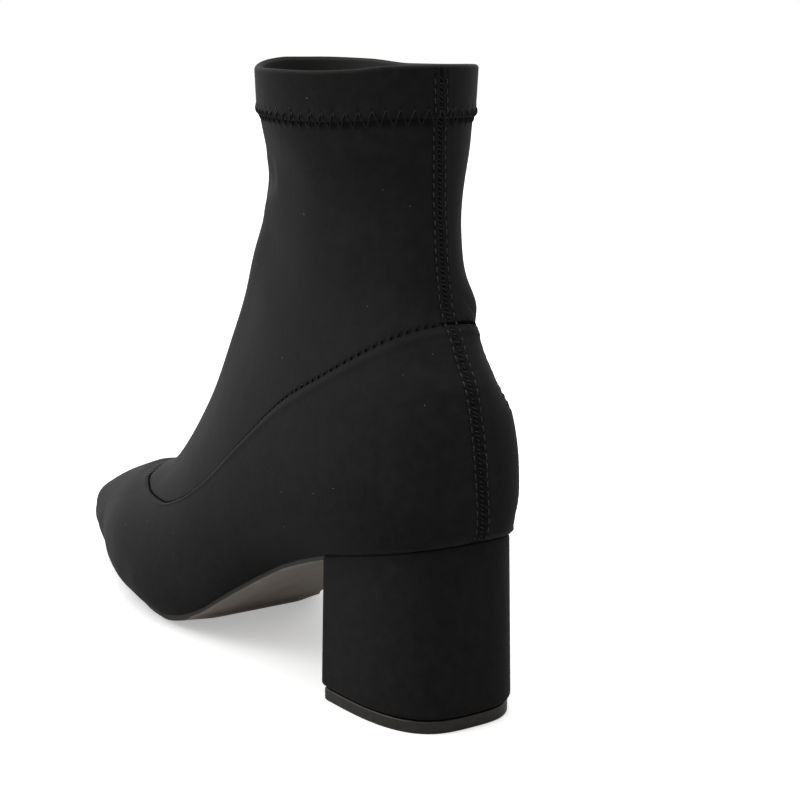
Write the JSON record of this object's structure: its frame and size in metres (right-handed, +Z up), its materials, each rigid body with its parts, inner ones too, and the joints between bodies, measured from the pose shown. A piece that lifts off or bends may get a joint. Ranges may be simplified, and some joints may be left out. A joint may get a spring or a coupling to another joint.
{
  "type": "sock boot",
  "caption": "Left ankle-high sock boot: hollow stretch-fabric upper with a hemmed collar, pointed toe, thin outsole, fabric-covered block heel and rubber top lift.",
  "frame": {"origin": "middle of the top lift's bottom face, on the floor under the heel", "axes": "+X forwards to the toe, +Y to the outer side of the left foot, +Z up"},
  "size_m": [0.2568, 0.0796, 0.1902],
  "materials": {
    "stretch_fabric": "matte black stretch fabric",
    "insole_cover": "matte black lining",
    "sole_rubber": "satin grey-brown",
    "heel_cover": "matte black stretch fabric",
    "lift_rubber": "satin dark brown"
  },
  "bodies": {
    "root": {"upper": "stretch_fabric", "insole": "insole_cover", "outsole": "sole_rubber", "heel": "heel_cover", "top_lift": "lift_rubber"}
  },
  "joints": []
}
